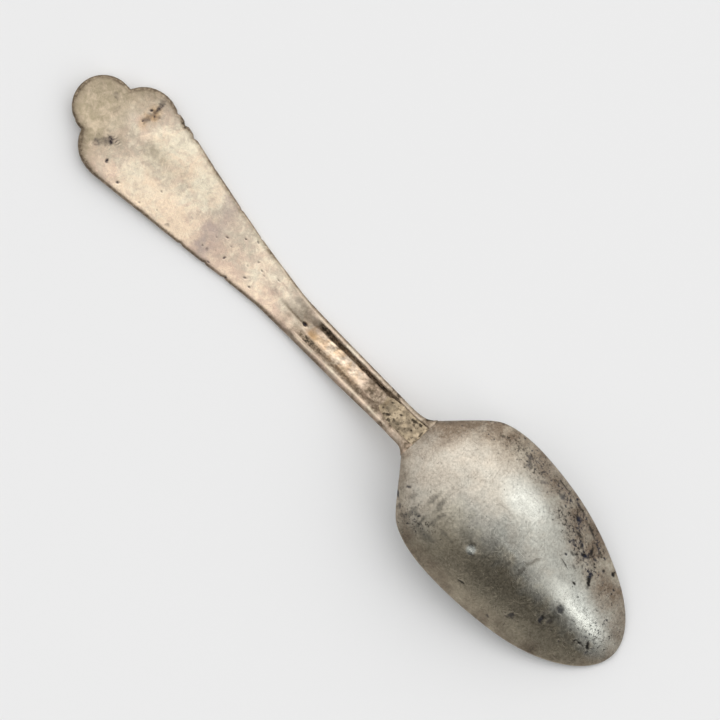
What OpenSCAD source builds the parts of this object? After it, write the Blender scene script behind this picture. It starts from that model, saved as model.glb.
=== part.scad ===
// Souvenir spoon, lying face down: hollow-backed stem, three-lobed end, separate bowl.
// +X runs along the spoon towards the bowl's tip, +Z is up, z = 0 is the table.

/* [Node] */
// Which piece to draw

/* [Overall] */
// Length from the end lobe to the bowl's tip
spoon_l = 114; // [110:1:118]
// Thickness of the blade and of the stem at its rims
handle_t = 1.0; // [0.8:0.1:1.3]

/* [End and stem] */
// Radius of the lobe at the very end
end_r = 4.75; // [4:0.05:5.5]
// Radius of the two side lobes
side_r = 5.2; // [4.6:0.05:5.8]
// How much later the +Y side lobe starts
side_shift = 0.65; // [0:0.05:1]
// Distance of each side lobe's centre from the middle line
side_off = 2.75; // [2:0.05:3.5]
// Where the side lobes are widest, from the end
side_x = 9.7; // [9:0.1:11]
// Half width of the blade just behind the lobes
blade_half = 7.31; // [6.5:0.05:8]
// How fast each side of the blade narrows, mm per mm
blade_taper = 0.163; // [0.14:0.001:0.18]
// Half width of the stem
stem_half = 2.69; // [2.5:0.01:3]
// Half width of the flat floor of the channel in the stem's back
floor_half = 0.95; // [0.7:0.05:1.1]
// Width of each sloping wall of the channel
wall_w = 0.85; // [0.6:0.05:1.0]
// Depth of the channel below its rims
channel_d = 0.85; // [0.5:0.05:0.9]
// Where the channel starts, from the end
channel_x = 41.5; // [38:0.5:46]
// How far the stem's front bulges down
front_bulge = 0.5; // [0.3:0.05:0.6]
// Depth of the sunken ground behind the ornament on the front
ground = 0.22; // [0.1:0.02:0.3]

/* [Bowl] */
// Where the handle stops and the bowl begins, from the end
joint_x = 71.4; // [70:0.1:73]
// Where the bowl is widest, from the end
wide_x = 86; // [84:0.5:90]
// Half width of the bowl
bowl_half = 12.17; // [11.5:0.05:13]
// Sheet thickness of the bowl
bowl_t = 0.85; // [0.6:0.05:1.1]
// How fast the heel opens out, mm per mm
flare = 1.17; // [1:0.01:1.4]
// Exponent of the bowl's cross-section in its middle: 2 is a parabola
dome_p = 2.2; // [2:0.1:2.6]
// How much more pointed the cross-section gets towards the tip
keel = 0.5; // [0:0.05:0.6]

/* [Hidden] */
gap = 0.02;                       // between pieces that touch
cut = 0.02;                       // blunt end at both tips of the outline
edge_t = 0.35;                    // height of the plain edge at the rims
tongue_x = 66.3;                  // hidden tongue of the bowl in the channel
tongue_half = 0.8;
tongue_top = 0.5;
fill_x = 64;                      // solder fill starts here
fill_top = 0.84;
// Height of the lower edge above the table, from the end lobe to the bowl's tip
EDGE_Z = [[0, 1.4], [8, 0.98], [15, 0.6], [22, 0.33], [28, 0.15], [34, 0.06], [40, 0.1],
          [45, 0.23], [50, 0.52], [56, 1.15], [61.5, 2.45], [67, 4.7], [71.4, 6.5], [76, 7.15],
          [82, 6.5], [90, 5.05], [100, 2.95], [108, 1.15], [114, 0]];
// Height of the dome above the bowl's edge
DOME_D = [[71.4, 0.25], [77, 3.1], [83, 5.6], [90, 7.05], [98, 6.15], [106, 3.8],
          [111, 1.9], [114, 0.3]];
// Ornament on the front: centre x, centre y, half length, half width, height against the ground
PADS = [[24, 0, 9.5, 4.3, 0.95], [4.9, 0, 3.6, 3.4, 1.6], [10, 4.2, 3.4, 2.9, 1.6], [10, -4.2, 3.4, 2.9, 1.6]];

function smax(a, b, k) = (a + b + sqrt((a - b) * (a - b) + k * k)) / 2;
function smin(a, b, k) = (a + b - sqrt((a - b) * (a - b) + k * k)) / 2;
function ramp(a, b, x) = let (t = min(max((x - a) / (b - a), 0), 1)) t * t * (3 - 2 * t);
function bell(x, c, w) = exp(-pow((x - c) / w, 2));
function arc(x, c, r) = sqrt(max(r * r - (x - c) * (x - c), 0));

// Smooth curve through a list of [x, z] points
function tang(P, i) = let (a = max(i - 1, 0), b = min(i + 1, len(P) - 1))
    (P[b][1] - P[a][1]) / (P[b][0] - P[a][0]);
function span(P, x, i = 0) = (i >= len(P) - 2 || x < P[i + 1][0]) ? i : span(P, x, i + 1);
function curve(P, x) = let (i = span(P, x), h = P[i + 1][0] - P[i][0], t = (x - P[i][0]) / h)
    P[i][1] * (1 + 2 * t) * (1 - t) * (1 - t) + tang(P, i) * h * t * (1 - t) * (1 - t)
    + P[i + 1][1] * t * t * (3 - 2 * t) + tang(P, i + 1) * h * t * t * (t - 1);

// Outline: half width and middle line at a distance x from the end
function head(x) = max(end_r * 0.98 * arc(x, end_r, end_r) / end_r,
                       x > side_x - side_r ? side_off + arc(x, side_x, side_r) : 0);
function blade(x) = min(side_off + side_r,
    smax(stem_half, blade_half - blade_taper * (x - 14.34), 0.9));
function heel(x) = smax(stem_half - 0.1, 3.6 + flare * (x - joint_x), 0.9);
function oval(x) = x < wide_x
    ? bowl_half * pow(max(1 - pow((wide_x - x) / 16, 2.2), 0), 1 / 2.2)
    : bowl_half * pow(max(1 - pow((x - wide_x) / (spoon_l - wide_x), 1.97), 0), 1 / 1.97);
function half(x) = x < side_x ? head(x)
    : x < 66 ? blade(x) - 0.1 * ramp(56, 66, x)
    : x < joint_x ? heel(x) : max(smin(heel(x), oval(x), 1), 0.1);
// The spoon is bent a little sideways
function mid(x) = 0.05 - 0.34 * bell(x, 31, 16) - 0.19 * ramp(40, 46, x) + 0.58 * bell(x, 71, 13)
    + 0.32 * ramp(68, 72, x) - 0.13 * ramp(73, 79, x) + 0.15 * bell(x, 88, 10) - 0.33 * ramp(94, 106, x);
function edge_z(x) = curve(EDGE_Z, x);
function wide(x, s) = half(s > 0 ? x - side_shift * ramp(4, 5.5, x) * (1 - ramp(9, 13, x)) : x);

// Back of the handle, u = distance from the middle line, d = distance from the edge; the blade is
// thinnest in its middle
function thick(x) = handle_t - 0.22 * bell(x, 34, 9);
function edge_h(x) = 0.45 - (0.45 - edge_t) * ramp(36, 50, x);
function bevel(x) = 0.5 + 0.35 * ramp(36, 50, x);
function back_h(x, d) = let (t = min(max(d / bevel(x), 0), 1))
    edge_h(x) + (thick(x) - edge_h(x)) * sqrt(max(1 - (1 - t) * (1 - t), 0));
function channel(x, u) = let (c = ramp(channel_x, channel_x + 7, x))
    channel_d * c * (1 - ramp(floor_half * c, floor_half * c + wall_w, u));
function pad(x, y) = max([for (p = PADS) p[4] *
    ramp(0, 0.35, 1 - pow((x - p[0]) / p[2], 2) - pow((y - p[1]) / p[3], 2))]);
function front_h(x, u, d, y) = -front_bulge * ramp(44, 60, x) * (1 - pow(u / half(x), 2))
    + ground * ramp(0.4, 1.1, d) * (1 - ramp(38, 46, x)) * (1 - pad(x, y));

// Back and front of the bowl, v = -1 to 1 across
function power(x) = dome_p - keel * ramp(90, 106, x);
function bowl_back(x, v) = let (k = 1 - ramp(joint_x, 77, x), p = pow(abs(v), power(x)))
    edge_t + (back_h(joint_x, half(joint_x) * (1 - abs(v))) - edge_t) * k + curve(DOME_D, x) * (1 - p);
function bowl_sheet(x, v) = let (s = curve(DOME_D, x) * power(x) * pow(abs(v), power(x) - 1) / half(x))
    bowl_t * sqrt(1 + s * s);
function bowl_front(x, v) = -front_bulge * (1 - v * v) * (1 - ramp(joint_x, 76, x))
    + ramp(73, 78, x) * smax(bowl_back(x, v) - bowl_sheet(x, v), 0, 0.06);

// A closed skin through rings made of a back row and a front row of equal length
module skin(rings) {
    n = len(rings[0]) / 2;
    m = len(rings);
    pts = [for (r = rings) for (p = r) p];
    around = [for (i = [0:m - 2]) for (j = [0:2 * n - 1])
        let (k = (j + 1) % (2 * n), a = i * 2 * n, b = a + 2 * n)
        each [[a + j, a + k, b + k], [a + j, b + k, b + j]]];
    ends = [for (e = [0, m - 1]) for (j = [0:n - 2]) let (a = e * 2 * n, p = a + j, q = a + 2 * n - 1 - j)
        each e == 0 ? [[p, q, p + 1], [p + 1, q, q - 1]] : [[p, p + 1, q], [p + 1, q - 1, q]]];
    translate([-spoon_l / 2, -mid(wide_x), 0]) polyhedron(points = pts, faces = concat(around, ends), convexity = 8);
}

// Positions across, fine where the channel's walls and the edges are
S_HALF = [0.12, 0.24, 0.33, 0.4, 0.47, 0.54, 0.61, 0.68, 0.76, 0.84, 0.91, 0.96, 0.985, 1];
S = concat([for (i = [len(S_HALF) - 1:-1:0]) -S_HALF[i]], [0], S_HALF);
V = [for (i = [-18:18]) sin(90 * i / 18) * 0.55 + 0.45 * i / 18];

function lobe_x(a, b, c, r) = [for (t = [a:b]) c - r * cos(180 * t / 24)];
HANDLE_X = concat([cut], [for (t = [2:12]) end_r * (1 - cos(90 * t / 12))], [for (i = [1:11]) end_r + i * 0.45],
    [for (i = [0:7]) side_x + 0.4 + i * 0.6], [for (i = [0:19]) 15.2 + i * 1.3], [for (i = [0:28]) 41 + i],
    [69.8, 70.4, 70.9, joint_x - gap]);
BOWL_X = concat([for (i = [0:14]) joint_x + i * 0.55], [for (i = [1:22]) joint_x + 7.7 + i * 1.3],
    [for (t = [1:9]) 107.7 + (spoon_l - cut - 107.7) * sin(90 * t / 9)]);

module handle() color([0.78, 0.69, 0.6]) skin([for (x = HANDLE_X) let (m = mid(x), z = edge_z(x)) concat(
    [for (s = S) let (w = wide(x, s), u = abs(s) * w)
        [x, m + s * w, z + back_h(x, w - u) - channel(x, u)]],
    [for (i = [len(S) - 1:-1:0]) let (w = wide(x, S[i]), u = abs(S[i]) * w)
        [x, m + S[i] * w, z + front_h(x, u, w - u, m + S[i] * w)]])]);

module bowl() color([0.68, 0.66, 0.63]) skin(concat(
    [for (x = [tongue_x, joint_x]) let (m = mid(x), z = edge_z(x)) concat(
        [for (v = V) [x, m + v * tongue_half, z + tongue_top]],
        [for (i = [len(V) - 1:-1:0]) [x, m + V[i] * tongue_half, z + handle_t - channel_d + gap]])],
    [for (x = BOWL_X) let (h = half(x), m = mid(x), z = edge_z(x)) concat(
        [for (v = V) [x, m + v * h, z + bowl_back(x, v)]],
        [for (i = [len(V) - 1:-1:0]) [x, m + V[i] * h, z + bowl_front(x, V[i])]])]));

// Solder: its underside follows the channel and the tongue
function fill_low(x, u) = handle_t - channel(x, u) + gap
    + (u < tongue_half + 0.05 && x > tongue_x - 0.05 ? tongue_top - (handle_t - channel_d) : 0);
FILL_U = [0, 0.4, 0.8, 0.86, 1.05, 1.2, 1.35, 1.5];
FILL = concat([for (i = [len(FILL_U) - 1:-1:1]) -FILL_U[i]], FILL_U);
FILL_X = concat([for (i = [0:6]) fill_x + i * 0.37], [tongue_x - 0.06, tongue_x - 0.04],
    [for (i = [1:10]) tongue_x + i * (joint_x - gap - tongue_x) / 10]);
module heel_solder() color([0.62, 0.56, 0.42]) skin([for (x = FILL_X) let (m = mid(x), z = edge_z(x),
    top = handle_t - channel_d + 0.08 + (fill_top - handle_t + channel_d - 0.08) * ramp(fill_x, fill_x + 2.6, x)) concat(
        [for (u = FILL) [x, m + u, z + max(top, fill_low(x, abs(u)) + 0.03)]],
        [for (i = [len(FILL) - 1:-1:0]) [x, m + FILL[i], z + fill_low(x, abs(FILL[i]))]])]);

bowl();
handle();
heel_solder();
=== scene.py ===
"""Looks of the souvenir spoon: fine meshes for its three pieces, worn silver, floor, light, camera.

Lengths in the shape functions are millimetres from the end lobe (x) and from the middle line (u).
"""
import math

import bpy
import numpy as np
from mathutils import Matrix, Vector


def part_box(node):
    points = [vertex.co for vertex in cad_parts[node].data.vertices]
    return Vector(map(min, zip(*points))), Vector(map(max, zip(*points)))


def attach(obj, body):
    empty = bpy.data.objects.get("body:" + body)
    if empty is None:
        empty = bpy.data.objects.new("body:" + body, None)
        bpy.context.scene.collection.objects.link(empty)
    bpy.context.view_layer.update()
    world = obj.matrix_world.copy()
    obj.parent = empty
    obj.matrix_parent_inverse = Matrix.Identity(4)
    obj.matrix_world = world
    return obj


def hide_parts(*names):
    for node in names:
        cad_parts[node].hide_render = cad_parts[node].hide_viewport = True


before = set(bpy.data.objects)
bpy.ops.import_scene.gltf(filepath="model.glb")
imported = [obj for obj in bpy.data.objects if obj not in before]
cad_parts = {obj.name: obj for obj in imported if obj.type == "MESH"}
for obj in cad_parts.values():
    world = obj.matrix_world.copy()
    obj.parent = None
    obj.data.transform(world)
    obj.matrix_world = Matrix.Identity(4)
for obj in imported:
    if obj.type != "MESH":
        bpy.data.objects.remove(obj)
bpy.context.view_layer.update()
MM = 0.001
END_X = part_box("handle")[0].x / MM            # the end lobe's tip
SPOON_L = (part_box("bowl")[1].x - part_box("handle")[0].x) / MM
JOINT_X = 71.4                                # where handle and bowl meet
WIDE_X = 86.0                                 # where the bowl is widest
WAVE = 6.28                                   # one cycle of a wave, in radians

# The spoon's outline, in millimetres
LOBE_R, LOBE_HALF = 4.75, 4.655               # the end lobe's radius and half width
SIDE_X, SIDE_R, SIDE_OUT = 9.7, 5.2, 2.75     # the side lobes' place, radius and offset
BLADE_HALF = 7.95                             # half width at the side lobes
TAPER_X, TAPER_HALF, TAPER = 14.34, 7.31, 0.163   # start of the straight taper, half width there, slope
STEM_HALF = 2.69
HEEL_X, HEEL_HALF, FLARE = 66, 3.6, 1.17      # where the stem widens, half width at the bowl, slope
BOWL_HALF = 12.17
BACK_L, BACK_POW = 16, 2.2                    # the bowl's outline behind its widest place
FORE_L, FORE_POW = 28, 1.97                   # and ahead of it

# Depths and heights, in millimetres
FLOOR_D = 0.85                                # depth of the channel in the stem's back
CHANNEL_Y = 0.35                              # the channel sits a little to one side of the middle
BOWL_T = 0.85                                 # the bowl's wall
RIM_T = 0.35                                  # the bowl's wall at its rim
PIT_D, MARK_D = 0.07, 0.05                    # depth of the blade's pits and of the bowl's marks
TONGUE_X, TONGUE_HALF = 66.3, 0.8             # the bowl's tongue in the channel
TONGUE_TOP, TONGUE_LOW = 0.5, 0.17
TABLE_GAP = 0.002                             # nothing goes lower than this above the table
JOIN_GAP = 0.005                              # keeps the handle's end face off the bowl's


# ---------------------------------------------------------------- small functions
def smax(a, b, k):
    return (a + b + np.sqrt((a - b) ** 2 + k * k)) / 2


def smin(a, b, k):
    return (a + b - np.sqrt((a - b) ** 2 + k * k)) / 2


def ramp(a, b, x):
    t = np.clip((x - a) / (b - a), 0, 1)
    return t * t * (3 - 2 * t)


def bell(x, c, w):
    return np.exp(-(((x - c) / w) ** 2))


def arc(x, c, r):
    return np.sqrt(np.maximum(r * r - (x - c) ** 2, 0))


def curve(pts, x):
    """Smooth curve through [x, z] points."""
    p = np.array(pts, float)
    x = np.asarray(x, float)
    n = len(p)
    lo, hi = np.maximum(np.arange(n) - 1, 0), np.minimum(np.arange(n) + 1, n - 1)
    d = (p[hi, 1] - p[lo, 1]) / (p[hi, 0] - p[lo, 0])
    i = np.clip(np.searchsorted(p[:, 0], x, side="right") - 1, 0, n - 2)
    h = p[i + 1, 0] - p[i, 0]
    t = (x - p[i, 0]) / h
    return (p[i, 1] * (1 + 2 * t) * (1 - t) ** 2 + d[i] * h * t * (1 - t) ** 2
            + p[i + 1, 1] * t * t * (3 - 2 * t) + d[i + 1] * h * t * t * (t - 1))


def noise(x, y, size, seed, octaves=3):
    """Smooth value noise, about -1 to 1, with features of the given size."""
    table = np.random.default_rng(seed).uniform(-1, 1, (256, 256))
    total, amp, norm = 0.0, 1.0, 0.0
    for k in range(octaves):
        px, py = x / size * 2 ** k + 17.3 * k, y / size * 2 ** k + 5.1 * k
        i, j = np.floor(px).astype(int), np.floor(py).astype(int)
        fx, fy = px - i, py - j
        fx, fy = fx * fx * (3 - 2 * fx), fy * fy * (3 - 2 * fy)
        a, b = table[i % 256, j % 256], table[(i + 1) % 256, j % 256]
        c, d = table[i % 256, (j + 1) % 256], table[(i + 1) % 256, (j + 1) % 256]
        total = total + amp * ((a * (1 - fx) + b * fx) * (1 - fy) + (c * (1 - fx) + d * fx) * fy)
        norm += amp
        amp *= 0.5
    return total / norm * 1.6


def spot(x, y, cx, cy, rx, ry=None, turn=0.0):
    """Round or oval soft spot: 1 in the middle, 0 outside."""
    ry = ry or rx
    c, s = math.cos(math.radians(turn)), math.sin(math.radians(turn))
    dx, dy = x - cx, y - cy
    q = ((dx * c + dy * s) / rx) ** 2 + ((dy * c - dx * s) / ry) ** 2
    return np.clip(1 - q, 0, 1) ** 1.5


def marks(x, u, spots, seed=91):
    """Ragged marks: x, u, half length, half width, turn in degrees, strength."""
    out = np.zeros_like(x)
    wob = noise(x, u, 0.45, seed, 3)
    for cx, cu, long, wide, turn, strength in spots:
        c, s = math.cos(math.radians(turn)), math.sin(math.radians(turn))
        dx, du = x - cx, u - cu
        q = np.hypot((dx * c + du * s) / long, (du * c - dx * s) / wide)
        out = np.maximum(out, strength * ramp(1.25, 0.45, q * (1 + 0.5 * wob)))
    return out


# ---------------------------------------------------------------- the spoon's outline and heights
EDGE_Z = [[0, 1.4], [8, 0.98], [15, 0.6], [22, 0.33], [28, 0.15], [34, 0.06], [40, 0.1],
          [45, 0.23], [50, 0.52], [56, 1.15], [61.5, 2.45], [67, 4.7], [71.4, 6.5], [76, 7.15],
          [82, 6.5], [90, 5.05], [100, 2.95], [108, 1.15], [114, 0]]
DOME_D = [[71.4, 0.25], [77, 3.1], [83, 5.6], [90, 7.05], [98, 6.15], [106, 3.8],
          [111, 1.9], [114, 0.3]]


def half(x):
    """Half of the spoon's width."""
    x = np.asarray(x, float)
    end = LOBE_HALF / LOBE_R * arc(x, LOBE_R, LOBE_R)
    side = np.where(x > 4.5, SIDE_OUT + arc(x, SIDE_X, SIDE_R), 0)
    taper = TAPER_HALF - TAPER * (x - TAPER_X)
    blade = np.minimum(BLADE_HALF, smax(STEM_HALF, taper, 0.9)) - 0.1 * ramp(56, HEEL_X, x)
    heel = smax(STEM_HALF - 0.1, HEEL_HALF + FLARE * (x - JOINT_X), 0.9)
    back = np.maximum(1 - np.maximum((WIDE_X - x) / BACK_L, 0) ** BACK_POW, 0) ** (1 / BACK_POW)
    fore = np.maximum(1 - np.maximum((x - WIDE_X) / FORE_L, 0) ** FORE_POW, 0) ** (1 / FORE_POW)
    bowl = np.maximum(smin(heel, BOWL_HALF * np.where(x < WIDE_X, back, fore), 1), 0.1)
    return np.where(x < SIDE_X, np.maximum(end, side),
                    np.where(x < HEEL_X, blade, np.where(x < JOINT_X, heel, bowl)))


def mid(x):
    """How far the spoon's middle line is bent sideways."""
    return (0.05 - 0.34 * bell(x, 31, 16) - 0.19 * ramp(40, 46, x) + 0.58 * bell(x, 71, 13)
            + 0.32 * ramp(68, 72, x) - 0.13 * ramp(73, 79, x) + 0.15 * bell(x, 88, 10)
            - 0.33 * ramp(94, 106, x))


def edge_z(x):
    """Height of the spoon's lower edge above the table."""
    return curve(EDGE_Z, x)


def thick(x):
    """Thickness of the handle: the blade is thinnest in its middle."""
    return 1.0 - 0.22 * bell(x, 34, 9)


def power(x):
    """Exponent of the bowl's cross-section: it gets more pointed towards the tip."""
    return 2.2 - 0.5 * ramp(90, 106, x)


def place(x, u, z):
    """Millimetres from the end lobe to metres in the shared frame."""
    return np.stack([(x - 0.02 + END_X) * MM, (u + mid(x) - mid(WIDE_X)) * MM, z * MM], -1)


# Small nicks in the edge: side (+1 or -1), place, half length, depth
NICKS = [(1, 12.75, 0.32, 0.24), (1, 14.75, 0.38, 0.3), (1, 17.05, 0.32, 0.26), (1, 29.4, 0.3, 0.12),
         (1, 34.5, 0.25, 0.1), (-1, 26.9, 0.35, 0.16), (-1, 31.3, 0.3, 0.13), (-1, 34.8, 0.3, 0.15),
         (-1, 19.6, 0.3, 0.06), (1, 22.4, 0.4, 0.05), (-1, 3.0, 0.35, 0.1)]


def nicked(x, side):
    """Half width with its nicks and slight waviness."""
    late = 0.65 * ramp(4, 5.5, x) * (1 - ramp(9, 13, x)) if side > 0 else 0   # the +Y lobe starts later
    waves = 0.05 * ramp(3, 9, x) * (1 - ramp(40, 50, x)) * (1 + noise(x, x * 0 + side, 3.1, 5))
    w = half(x - late) - waves
    for s, c, r, d in NICKS:
        if s == side:
            w = w - d * bell(x, c, r)
    return np.maximum(w, 0.05)


def edge_distance(xs, U):
    """Distance from each grid point to the handle's outline, station by station."""
    t = np.concatenate([LOBE_R * (1 - np.cos(np.linspace(0.02, math.pi / 2, 60))),
                        np.linspace(4.76, 6.2, 60), np.linspace(6.25, 76, 900)])
    out = np.empty_like(U)
    for i, x in enumerate(xs):
        near = np.abs(t - x) < 2.2
        tx = t[near]
        best = np.full(U.shape[1], 9.0)
        for side in (1, -1):
            ty = side * nicked(tx, side)
            ax, ay, bx, by = tx[:-1], ty[:-1], tx[1:], ty[1:]
            dx, dy = bx - ax, by - ay
            k = ((x - ax) * dx + (U[i][:, None] - ay) * dy) / (dx * dx + dy * dy)
            k = np.clip(k, 0, 1)
            dist = np.hypot(ax + k * dx - x, ay + k * dy - U[i][:, None])
            best = np.minimum(best, dist.min(1))
        out[i] = best
    return out


# ---------------------------------------------------------------- meshes
def skin(name, rings, attrs, node):
    """A closed smooth mesh through equal rings of points, with per-vertex masks."""
    m, n = rings.shape[:2]
    mesh = bpy.data.meshes.new(name)
    idx = np.arange(m * n).reshape(m, n)
    a, b = idx[:-1], idx[1:]
    quads = np.stack([a, b, np.roll(b, -1, 1), np.roll(a, -1, 1)], -1).reshape(-1, 4)
    faces = [list(idx[0]), *quads.tolist(), list(idx[-1][::-1])]
    mesh.from_pydata(rings.reshape(-1, 3).tolist(), [], faces)
    mesh.polygons.foreach_set("use_smooth", [True] * len(mesh.polygons))
    for key, val in attrs.items():
        layer = mesh.attributes.new(key, "FLOAT", "POINT")
        layer.data.foreach_set("value", np.clip(val, -1, 1).astype(np.float32).ravel())
    mesh.validate()
    mesh.update()
    mesh.set_sharp_from_angle(angle=math.radians(55))
    obj = bpy.data.objects.new(name, mesh)
    bpy.context.collection.objects.link(obj)
    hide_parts(node)
    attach(obj, "root")
    return obj


def quarter(d, width):
    """Rounded shoulder: 0 at the edge, 1 from the given distance inwards."""
    t = np.clip(d / width, 0, 1)
    return np.sqrt(np.maximum(1 - (1 - t) ** 2, 0))


def channel_depth(x, u):
    """Depth of the channel in the stem's back."""
    c = ramp(43.5, 52.5, x)
    w = u - CHANNEL_Y * c
    wall = np.where(w > 0, 0.95, 1.2) + 1.2 * (1 - c)
    flat = np.where(w > 0, 0.88, 0.9) * c
    return FLOOR_D * ramp(44, 54.5, x) * (1 - ramp(0, 1, (np.abs(w) - flat) / wall))


# The round fields in the three lobes: place and radius
LOBES = [(4.9, 0.0, 4.2), (10.2, 4.1, 3.7), (10.0, -4.1, 3.7)]
# Small pits in the blade
BLADE_PITS = [(10.8, -5.0, 0.34, 0.22, -60, 1.0), (14.1, -6.0, 0.26, 0.22, 0, 0.8),
              (18.4, -5.6, 0.2, 0.13, 20, 0.6), (19.5, -2.1, 0.17, 0.15, 0, 0.6),
              (21.0, -4.4, 0.15, 0.13, 0, 0.5), (9.9, 4.8, 0.32, 0.2, 25, 1.0),
              (10.1, 2.8, 0.24, 0.28, -20, 1.0), (10.5, 6.4, 0.24, 0.4, 0, 0.7),
              (33.0, 2.3, 0.22, 0.16, 40, 0.9), (31.0, 0.5, 0.22, 0.16, 20, 0.8),
              (32.8, -1.9, 0.15, 0.34, -15, 0.8), (32.3, 0, 0.14, 0.12, 0, 0.5),
              (36.7, 1.3, 0.14, 0.2, 0, 0.7), (37.0, -1.7, 0.25, 0.17, 40, 0.7),
              (34.5, 3.3, 0.17, 0.12, 0, 0.6), (29.3, -2.9, 0.15, 0.14, 0, 0.6),
              (31.6, -4.0, 0.22, 0.14, 8, 0.8), (35.0, -3.7, 0.22, 0.14, 8, 0.8),
              (29.8, -0.6, 0.2, 0.13, 0, 0.5), (38.0, 0.8, 0.18, 0.13, 0, 0.7),
              (38.7, 0.5, 0.16, 0.14, 0, 0.6), (38.4, -2.2, 0.18, 0.16, 0, 0.8),
              (36.0, -0.2, 0.14, 0.12, 0, 0.4), (40.6, 1.6, 0.15, 0.12, 0, 0.4),
              (48.0, 0.08, 0.45, 0.36, 0, 1.0)]
# Softer dark smudges in the lobes and where the channel begins
BLADE_SMUDGES = [(8.6, -3.1, 1.7, 0.62, 50, 0.75), (7.8, -4.1, 0.9, 0.75, 50, 0.75),
                 (9.4, -2.1, 0.6, 0.3, 10, 0.3), (10.5, 5.6, 0.5, 1.4, 10, 0.75),
                 (10.3, 3.6, 0.5, 1.3, 0, 0.5), (11.3, 5.0, 0.3, 0.6, 0, 0.4),
                 (4.8, 2.5, 0.8, 0.45, 20, 0.35), (6.3, 1.2, 0.4, 0.8, 0, 0.25),
                 (23.7, -4.6, 0.4, 0.3, 0, 0.5), (30.1, -2.8, 0.3, 0.28, 0, 0.4),
                 (41.3, 0, 0.7, 0.5, 0, 0.35), (45.2, 1.8, 2.4, 0.5, 3, 0.25),
                 (14.0, 0.6, 2.4, 1.1, 0, 0.15), (17.0, -1.2, 1.6, 0.8, 20, 0.15)]


def handle_back(x, u, d):
    """Height of the handle's back above its lower edge."""
    stem = ramp(36, 50, x)
    eh = 0.42 - 0.07 * stem
    width = 0.4 + stem * np.where(u > 0, 0.25, 0.67)
    z = eh + (thick(x) - eh) * quarter(d, width)
    for cx, cy, r in LOBES:
        z = z - 0.09 * ramp(1, 0, ((x - cx) ** 2 + (u - cy) ** 2) / r ** 2) * ramp(0.3, 1.6, d)
    z = z - 0.05 * np.clip(1 - ((x - 22) / 8) ** 2 - (u / 3.6) ** 2, 0, 1)
    depth = channel_depth(x, u)
    z = z - depth
    z = z + 0.09 * ramp(0.3, 0.85, depth) * noise(x, u, 0.9, 21, 3)
    z = z - 0.05 * bell(u, 0.08, 0.4) * ramp(41.5, 46, x) * (1 - ramp(47.8, 49, x))
    z = z - 0.22 * spot(x, u, 48.0, 0.08, 0.5, 0.4)
    z = z + 0.02 * noise(x, u, 4, 3, 2) + 0.008 * noise(x, u, 0.9, 9, 2)
    return z - PIT_D * marks(x, u, BLADE_PITS)


def ornament(x, u, d):
    """Height of the relief on the handle's front."""
    a = np.abs(u)
    fade = 1 - ramp(41, 45, x)
    z = 0.26 * np.clip(1 - ((d - 0.8) / 0.34) ** 2, 0, 1) * fade
    z = z * (0.8 + 0.2 * np.cos(WAVE * (x + 0.7 * a) / 0.95))
    for cx, cy, r in LOBES:
        q = np.hypot(x - cx, u - cy) / (r - 1.0)
        th = np.arctan2(u - cy, x - cx)
        fan = 0.34 * np.clip(1 - q ** 2, 0, 1) * (0.72 + 0.28 * np.cos(9 * th))
        z = np.maximum(z, fan + 0.1 * np.clip(1 - (q / 0.3) ** 2, 0, 1))
    long, wide = (x - 24.2) / 8.2, u / 3.5        # an oval ring with a rosette in it
    q = np.sqrt(long ** 2 + wide ** 2)
    z = np.maximum(z, 0.38 * np.clip(1 - ((q - 1) * 4 / 0.42) ** 2, 0, 1))
    th = np.arctan2(wide, long)
    z = np.maximum(z, 0.3 * np.clip(1 - (q / 0.62) ** 2, 0, 1) * (0.6 + 0.4 * np.cos(8 * th)))
    z = np.maximum(z, 0.36 * np.clip(1 - (q / 0.16) ** 2, 0, 1))
    w = np.maximum(3.6 - 0.24 * (x - 33.2), 0.3)
    leaf = 0.34 * np.clip(1 - (a / w) ** 2, 0, 1) * ramp(33.2, 35.2, x) * (1 - ramp(45, 47.5, x))
    vein = 0.05 * bell(u, 0, 0.25) * (leaf > 0.01)
    z = np.maximum(z, leaf * (0.74 + 0.26 * np.cos(WAVE * (x * 0.72 - a * 0.9))) + vein)
    lines = 0.07 * np.cos(WAVE * u / 1.3) * ramp(46, 49, x) * (1 - ramp(67, 70, x))
    return z + lines * ramp(0.5, 1.1, d)


def handle_front(x, u, d, h):
    """Height of the front: a sunken ground inside the rim, with the ornament standing in it."""
    bulge = 0.5 * ramp(44, 60, x) * (1 - (u / h) ** 2)
    ground = 0.22 * ramp(0.4, 1.1, d) * (1 - ramp(38, 46, x))
    room = np.clip(edge_z(x) - bulge - 0.005, 0, 0.16) + ground
    drop = ornament(x, u, d) / 0.38 * room * ramp(0, 0.4, d)
    return -bulge + ground + 0.16 * (1 - quarter(d, 0.3)) - drop


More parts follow.
